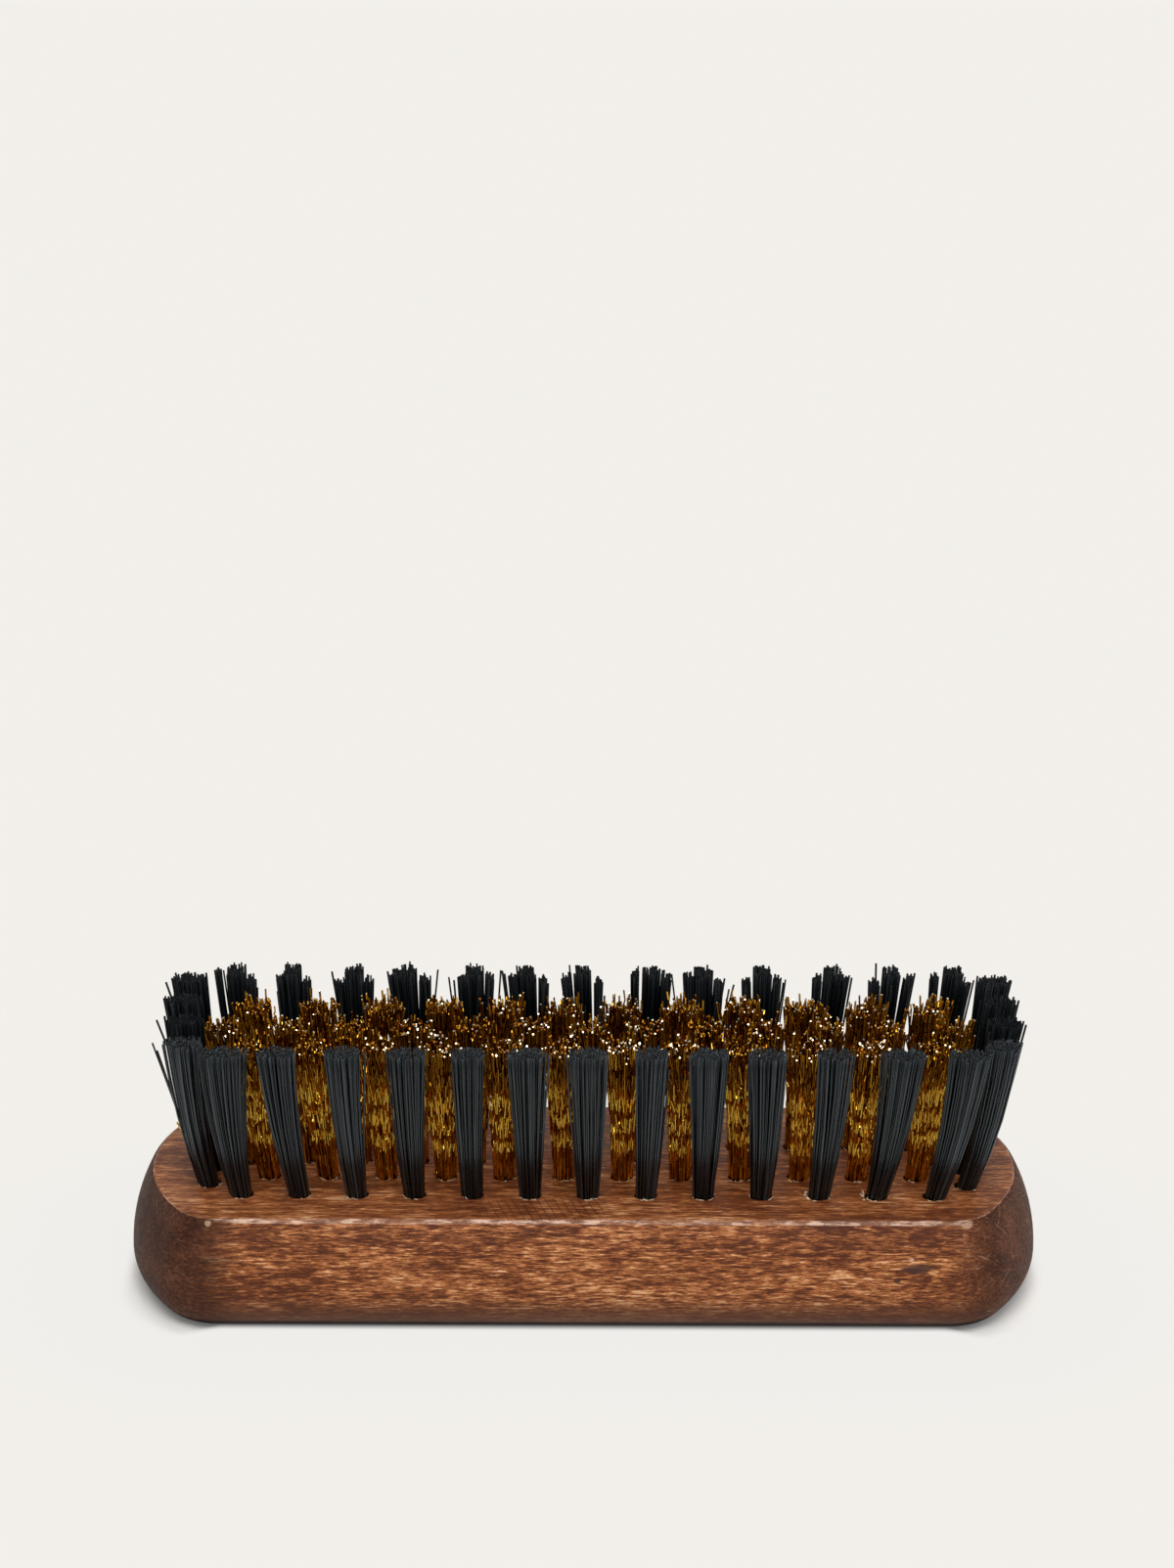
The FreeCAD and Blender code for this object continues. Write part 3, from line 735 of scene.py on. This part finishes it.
def tuft_axes(name):
    """The foot and tip of each tuft in a node, from left to right, in millimetres."""
    points = node_points(name)
    heights = points[:, 2]
    feet = split_along_x(points[heights < heights.min() + FOOT_BAND])
    tips = split_along_x(points[heights > heights.max() - TIP_BAND])
    return [(middle(foot), middle(tip)) for foot, tip in zip(feet, tips)]


def trimmed_tops(name, tip, spread):
    """The height of the solid tuft's top under each strand's end, or under a point nearer its axis."""
    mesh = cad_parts[name].data
    tree = BVHTree.FromPolygons([v.co for v in mesh.vertices], [tuple(p.vertices) for p in mesh.polygons])
    tops = np.full(len(spread), tip[2])
    for number, offset in enumerate(spread):
        for share in INWARD_SHARES:
            x, y = (tip[:2] + offset * share) * MM
            hit = tree.ray_cast((x, y, (HIGHEST + RAY_CLEARANCE) * MM), (0, 0, -1))[0]
            if hit:
                tops[number] = hit.z / MM
                break
    return tops


def disc(rng, count):
    """Points spread evenly over a disc of radius 1, a little out of order."""
    turn = math.pi * (3 - math.sqrt(5))
    index = np.arange(count)
    radius = np.sqrt((index + 0.5) / count)
    angle = index * turn + rng.normal(0, DISC_SCATTER, count)
    return np.stack([radius * np.cos(angle), radius * np.sin(angle)], axis=1)


def grooved(points):
    """Draws the outer strands in where a tuft has its grooves."""
    angle = np.arctan2(points[:, 1], points[:, 0])
    reach = np.hypot(points[:, 0], points[:, 1])
    drawn_in = GROOVE_DEPTH * reach**2 * (0.5 + 0.5 * np.cos(GROOVE_COUNT * angle))
    return points * (1 - drawn_in)[:, None]


def axis_at(foot, tip, heights):
    """Points on the tuft's axis at these heights."""
    share = (heights - foot[2]) / (tip[2] - foot[2])
    return foot[:2] + (tip - foot)[:2] * share[..., None]


def strand_heights(foot, tops, shares):
    """Heights along each strand: the foot in its hole, the face, then shares of the way up to its top."""
    above = FACE + (tops - FACE)[:, None] * shares
    below = np.full((len(tops), 1), foot[2] + FOOT_LIFT)
    return np.concatenate([below, above], axis=1)


def fanned(base, spread, rise):
    """Each strand's distance from the axis, from its place in the hole to its place at the tip."""
    return base[:, None, :] * (1 - rise[..., None]) + spread[:, None, :] * rise[..., None]


def nylon_paths(rng, node, look):
    """Centre lines of a nylon tuft's strands, a little bowed from the hole to their trimmed ends."""
    foot, tip = tuft_axes(node)[0]
    count = NYLON_COUNT
    base = disc(rng, count)
    spread = NYLON_TIP * (grooved(base) + rng.normal(0, NYLON_SCATTER, (count, 2)))
    tops = trimmed_tops(node, tip, spread) - np.abs(rng.normal(0, look["ragged"], count))
    left = spread[:, 0] < -SHOULDER_START
    right = spread[:, 0] > SHOULDER_START
    spread[left, 0] -= rng.uniform(*SHOULDER_SPLAY) * look["splay"]
    spread[right, 0] += rng.uniform(*SHOULDER_SPLAY) * look["splay"]
    strays = rng.random(count) < look["strays"]
    spread[strays] *= rng.uniform(*NYLON_STRAY_REACH, (strays.sum(), 1))
    spread[:, 0] = spread[:, 0] * look["width"] + look["lean"]
    heights = strand_heights(foot, tops, np.linspace(0, 1, NYLON_STEPS))
    rise = np.clip((heights - FACE) / (tip[2] - FACE), 0, None) ** NYLON_FLARE
    outward = NYLON_BULGE * unit((tip - foot)[:2])
    bow = outward + rng.normal(0, look["bow"], (count, 1, 2))
    bow = bow * np.sin(np.clip(rise, 0, 1) * math.pi)[..., None]
    flat = axis_at(foot, tip, heights) + fanned(NYLON_BASE * base, spread, rise) + bow
    return np.concatenate([flat, heights[..., None]], axis=2)


def loose_paths(rng):
    """Centre lines of the nylon strands that stand apart from their tufts, a little bent."""
    paths = []
    for node, end, height in LOOSE_STRANDS:
        foot, tip = tuft_axes(node)[0]
        heights = strand_heights(foot, np.array([height]), np.linspace(0, 1, LOOSE_STEPS))[0]
        rise = np.clip((heights - FACE) / (height - FACE), 0, None)[:, None]
        start = NYLON_BASE * np.sign(end[0]) * np.array([LOOSE_START, 0.0])
        bend = rng.normal(0, LOOSE_BEND, 2) * np.sin(rise * math.pi)
        flat = axis_at(foot, tip, heights) + start * (1 - rise) + np.array(end) * rise**LOOSE_FLARE + bend
        paths.append(np.concatenate([flat, heights[:, None]], axis=1))
    return np.array(paths)


def crimp_shares(rng, count):
    """Where each wire bends, as shares of its height above the face."""
    bends = np.arange(CRIMP_BENDS)
    loosening = CRIMP_DRIFT + CRIMP_DRIFT_RISE * bends / CRIMP_BENDS
    drift = rng.normal(0, 1, (count, CRIMP_BENDS)) * loosening
    shares = (bends + rng.uniform(*CRIMP_START) + drift) / (CRIMP_BENDS + CRIMP_MARGIN)
    face = np.zeros((count, 1))
    top = np.ones((count, 1))
    return np.clip(np.concatenate([face, np.sort(shares, axis=1), top], axis=1), 0, 1)


def crimp_swings(rng, shape):
    """How far each wire swings aside at its bends, to and fro, and the direction it swings in."""
    bends = np.arange(CRIMP_BENDS)
    growing = np.clip((bends - 0.5) / FULL_CRIMP, LEAST_CRIMP, 1.0)
    side = np.where(bends % 2, 1.0, -1.0) * growing
    swing = np.zeros(shape)
    swing[:, 2:-1] = CRIMP_SWING * side * rng.uniform(*CRIMP_RANGE, (shape[0], 1))
    plane = math.pi / 2 + rng.normal(0, CRIMP_TURN, (shape[0], 1))
    return np.stack([swing * np.cos(plane), swing * np.sin(plane)], axis=2)


def brass_paths(rng, foot, tip):
    """Centre lines of a brass tuft's wires, bent to and fro in step near the hole and loose at the top."""
    count = BRASS_COUNT
    base = disc(rng, count)
    spread = BRASS_TIP * (base + rng.normal(0, BRASS_SCATTER, (count, 2)))
    strays = rng.random(count) < BRASS_STRAY_SHARE
    spread[strays] *= rng.uniform(*BRASS_STRAY_REACH, (strays.sum(), 1))
    tops = np.minimum(tip[2] + rng.normal(BRASS_TRIM, BRASS_TRIM_SCATTER, count), HIGHEST)
    heights = strand_heights(foot, tops, crimp_shares(rng, count))
    heights = np.maximum.accumulate(heights + np.arange(heights.shape[1]) * BEND_GAP, axis=1)
    rise = np.clip((heights - FACE) / (tip[2] - FACE), 0, None) ** BRASS_FLARE
    offset = fanned(BRASS_BASE * base, spread, rise) + crimp_swings(rng, heights.shape)
    flat = axis_at(foot, tip, heights) + offset
    return np.concatenate([flat, heights[..., None]], axis=2)


def brass_tones(rng, count):
    """Tones of the wires' lengths, painted bright and tarnished by turns, the bright ones partly polish and
    partly painted glints, with painted shade on the top lengths, and of their cut ends, some of them painted
    glints.
    """
    lengths = CRIMP_BENDS + 2
    number = np.arange(lengths)
    glint_bands = np.where(number % 2, TARNISHED_TONE, POLISHED_GLINT_TONE)
    glint_bands = np.where(number < DULL_FOOT, FOOT_TONE, glint_bands)
    glint_bands = np.where(number >= lengths - SHADED_TOP, glint_bands * TOP_SHADE_SHARE, glint_bands)
    tones = glint_bands + rng.normal(0, TONE_SCATTER, (count, lengths))
    glint_ends = np.where(rng.random(count) < GLINT_END_SHARE, 1.0, 0.0)
    return np.clip(tones, 0, BRIGHTEST_TONE), glint_ends


def tube_mesh(name, paths, radii, sides, tilt, tones, cut_tones, crisp):
    """One mesh of closed round strands. paths is strands by points by 3, in millimetres."""
    strands, points, _ = paths.shape
    along = unit(np.gradient(paths, axis=1))
    across = unit(np.array([1.0, 0.0, 0.0]) - along * along[..., :1])
    beside = np.cross(along, across)
    angle = np.arange(sides) * 2 * math.pi / sides
    ring = across[:, :, None, :] * np.cos(angle)[:, None] + beside[:, :, None, :] * np.sin(angle)[:, None]
    rings = paths[:, :, None, :] + ring * radii[..., None, None]
    slope = tilt[:, :1] * np.cos(angle) + tilt[:, 1:] * np.sin(angle)
    rings[:, -1] += along[:, -1, None, :] * (slope * radii[:, -1:])[..., None]

    index = np.arange(strands * points * sides).reshape(strands, points, sides)
    after = np.roll(index, -1, axis=2)
    walls = np.stack([index[:, :-1], after[:, :-1], after[:, 1:], index[:, 1:]], axis=-1).reshape(-1, 4)
    caps = np.concatenate([index[:, -1], index[:, 0, ::-1]])
    corners = np.concatenate([walls.ravel(), caps.ravel()])
    starts = np.concatenate([np.arange(len(walls)) * 4, len(walls) * 4 + np.arange(len(caps)) * sides])
    smooth = np.concatenate([np.ones(len(walls), bool), np.zeros(len(caps), bool)])

    mesh = bpy.data.meshes.new(name)
    mesh.vertices.add(index.size)
    mesh.vertices.foreach_set("co", (rings * MM).astype(np.float32).ravel())
    mesh.loops.add(len(corners))
    mesh.loops.foreach_set("vertex_index", corners.astype(np.int32))
    mesh.polygons.add(len(starts))
    mesh.polygons.foreach_set("loop_start", starts.astype(np.int32))
    mesh.update(calc_edges=True)
    mesh.polygons.foreach_set("use_smooth", smooth)
    tone = mesh.attributes.new("strand_tone", "FLOAT", "FACE")
    face_tones = np.concatenate([np.repeat(tones.ravel(), sides), cut_tones, tones[:, 0]])
    tone.data.foreach_set("value", face_tones.astype(np.float32))
    if crisp:
        mark_bends(mesh, sides)
    mesh.validate()
    return mesh


def mark_bends(mesh, sides):
    """Keeps the shading of one length of a wire apart from the next at each bend."""
    ends = np.empty(len(mesh.edges) * 2, np.int32)
    mesh.edges.foreach_get("vertices", ends)
    first, second = ends.reshape(-1, 2).T // sides
    sharp = mesh.attributes.new("sharp_edge", "BOOLEAN", "EDGE")
    sharp.data.foreach_set("value", first == second)


def add_piece(name, mesh, material, slot, *stands_for):
    piece = bpy.data.objects.new(name, mesh)
    bpy.context.scene.collection.objects.link(piece)
    mesh.materials.append(material)
    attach(piece, BODY)
    if stands_for:
        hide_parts(*stands_for)
    return piece


def even_radii(rng, radius, paths):
    strands, points, _ = paths.shape
    return np.repeat(radius * rng.uniform(*RADIUS_RANGE, (strands, 1)), points, axis=1)


def nylon_mesh(rng, name, paths):
    strands, points, _ = paths.shape
    radii = even_radii(rng, NYLON_RADIUS, paths)
    tilt = rng.normal(0, NYLON_CUT_SCATTER, (strands, 2)) + NYLON_CUT
    tones = np.repeat(rng.random((strands, 1)), points - 1, axis=1)
    cut_tones = rng.random(strands) * NYLON_END_TONE
    return tube_mesh(name, paths, radii, NYLON_SIDES, tilt, tones, cut_tones, False)


def shaded_ends(mesh, material):
    """Gives the strands' cut ends, the only faces with more than four corners, a second material; here it is
    the shaded copy of the nylon, painted shade.
    """
    mesh.materials.append(material)
    for face in mesh.polygons:
        face.material_index = int(len(face.vertices) > 4)


def nylon_look(node):
    """How one tuft's strands fall: each photographed tuft leans its own way."""
    row, number = node.split("_")[2:]
    place = int(number) - 1
    width = FRONT_WIDTHS[place] if row == "front" else OTHER_WIDTH
    return {**ROW_LOOKS[row], "width": width, "lean": ROW_LEANS[row][place]}


def add_nylon(outer, inner):
    for seed, node in enumerate(nodes_named("nylon_tuft"), NYLON_SEED):
        rng = np.random.default_rng(seed)
        name = node + "_strands"
        paths = nylon_paths(rng, node, nylon_look(node))
        # The front and corner tufts take the lit copy and the rest the shaded copy: painted light and shade
        # on one nylon
        material = outer if "_front_" in node or node.endswith(("left_1", "right_1")) else inner
        piece = add_piece(name, nylon_mesh(rng, name, paths), material, "nylon_bristle", node)
        shaded_ends(piece.data, inner)
    rng = np.random.default_rng(LOOSE_SEED)
    loose = nylon_mesh(rng, "loose_nylon_strands", loose_paths(rng))
    add_piece("loose_nylon_strands", loose, inner, "nylon_bristle")


def brass_mesh(rng, name, paths):
    strands = len(paths)
    radii = even_radii(rng, BRASS_RADIUS, paths)
    tilt = rng.normal(0, BRASS_CUT_SCATTER, (strands, 2)) + BRASS_CUT
    tones, glint_ends = brass_tones(rng, strands)
    return tube_mesh(name, paths, radii, BRASS_SIDES, tilt, tones, glint_ends, True)


def add_brass(material):
    for row, node in enumerate(nodes_named("brass_row")):
        for number, (foot, tip) in enumerate(tuft_axes(node), 1):
            rng = np.random.default_rng(BRASS_SEED + BRASS_ROW_SEEDS * row + number)
            name = f"{node}_tuft_{number:02d}"
            mesh = brass_mesh(rng, name, brass_paths(rng, foot, tip))
            add_piece(name, mesh, material, "brass_wire", node)
    path = np.array([LOOSE_WIRE])
    radii = np.full(path.shape[:2], BRASS_RADIUS)
    tones = np.full((1, len(LOOSE_WIRE) - 1), LOOSE_WIRE_TONE)
    # Its cut end takes the palest tone: a painted glint
    mesh = tube_mesh("loose_brass_wire", path, radii, BRASS_SIDES, np.zeros((1, 2)), tones, np.ones(1), True)
    add_piece("loose_brass_wire", mesh, material, "brass_wire")


def torn_wood(rng, centre, kind):
    """A curl of torn wood that lies round the edge of a hole, one end raised, and its thickness."""
    angle = rng.normal(kind["towards"], kind["scatter"])
    reach = HOLE_RADIUS + rng.uniform(*kind["reach"])
    length = rng.uniform(*kind["length"])
    lift = rng.uniform(*kind["lift"])
    share = np.linspace(0, 1, len(SPLINTER_TAPER))
    turn = angle + share * length / reach * rng.choice((-1, 1))
    out = reach + share * rng.uniform(*SPLINTER_DRIFT)
    height = FACE + SPLINTER_REST + lift * share**2
    path = np.stack([centre[0] + out * np.cos(turn), centre[1] + out * np.sin(turn), height], axis=1)
    return path, rng.uniform(*kind["thickness"])


def add_splinters(material):
    """Pale splinters round the holes, most of them on the near side, and chips beside two of them."""
    rng = np.random.default_rng(SPLINTER_SEED)
    torn = []
    for node in nodes_named("nylon_tuft", "brass_row"):
        for foot, tip in tuft_axes(node):
            centre = axis_at(foot, tip, np.array(FACE))
            for _ in range(rng.integers(FEWEST_SPLINTERS, MOST_SPLINTERS + 1)):
                torn.append(torn_wood(rng, centre, SPLINTER))
            for _ in range(CHIPS_EACH if node in CHIP_TUFTS else 0):
                torn.append(torn_wood(rng, centre, CHIP))
    paths = np.array([path for path, _ in torn])
    radii = np.array([thickness for _, thickness in torn])[:, None] * np.array(SPLINTER_TAPER)
    count, points, _ = paths.shape
    tones = np.ones((count, points - 1))
    tilt = np.zeros((count, 2))
    mesh = tube_mesh("hole_splinters", paths, radii, SPLINTER_SIDES, tilt, tones, np.ones(count), False)
    add_piece("hole_splinters", mesh, material, "stained_beech")


def add_floor():
    mesh = bpy.data.meshes.new("studio_floor")
    reach = FLOOR_REACH
    corners = [(-reach, -reach, 0), (reach, -reach, 0), (reach, reach, 0), (-reach, reach, 0)]
    mesh.from_pydata(corners, [], [(0, 1, 2, 3)])
    mesh.materials.append(floor_material())
    floor = bpy.data.objects.new("studio_floor", mesh)
    bpy.context.scene.collection.objects.link(floor)


def add_sun(name, azimuth, elevation, angle, strength, colour):
    """A soft lamp far away. Azimuth 0 stands behind the camera and 90 to the right."""
    lamp = bpy.data.lights.new(name, "SUN")
    lamp.energy = strength
    lamp.angle = math.radians(angle)
    lamp.color = colour
    holder = bpy.data.objects.new(name, lamp)
    holder.rotation_euler = (math.radians(90 - elevation), 0, math.radians(azimuth))
    bpy.context.scene.collection.objects.link(holder)


def add_studio():
    """A pale backdrop that darkens upward, and the lamps."""
    world = bpy.data.worlds.new("studio")
    bpy.context.scene.world = world
    s = Shader(world)
    _, away, up = s.split(s.add("ShaderNodeTexCoord").outputs["Generated"])
    height = s.math("MULTIPLY_ADD", s.math("MAXIMUM", away, 0.0), -BACKDROP_RISE, up)
    glow = s.ramp(height, [(0.0, PAPER), (0.06, PAPER), (0.2, SKY_LOW), (0.55, SKY_HIGH)])
    sky = s.add("ShaderNodeBackground", {"Color": glow, "Strength": 1.0})
    s.add("ShaderNodeOutputWorld", {"Surface": sky.outputs[0]})
    for sun in SUNS:
        add_sun(*sun)


def add_camera():
    lens = bpy.data.cameras.new("camera")
    lens.sensor_width = SENSOR
    lens.lens = FOCAL_PIXELS / PHOTO_HEIGHT * SENSOR
    lens.clip_start = NEAREST_SIGHT
    lens.clip_end = FARTHEST_SIGHT
    camera = bpy.data.objects.new("camera", lens)
    camera.location = [part * MM for part in CAMERA_PLACE]
    tipped = Matrix.Rotation(math.radians(90 - CAMERA_PITCH), 3, "X")
    rolled = Matrix.Rotation(math.radians(CAMERA_ROLL), 3, "Z")
    camera.rotation_euler = (tipped @ rolled).to_euler()
    bpy.context.scene.collection.objects.link(camera)
    bpy.context.scene.camera = camera


def dress(node, material):
    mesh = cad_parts[node].data
    mesh.materials.clear()
    mesh.materials.append(material)


bpy.context.scene.view_settings.view_transform = "Standard"
add_camera()
add_floor()
add_studio()

dress("brush_block", wood_material())
steel = steel_material()
dress("nylon_anchors", steel)
dress("brass_anchors", steel)
# Lit and shaded copies of the same nylon: painted light and shade
lit_nylon = nylon_material("nylon_painted_lit", *NYLON_LIT_COPY)
shaded_nylon = nylon_material("nylon_painted_shade", *NYLON_SHADED_COPY)
add_nylon(lit_nylon, shaded_nylon)
add_brass(brass_material())
add_splinters(splinter_material())
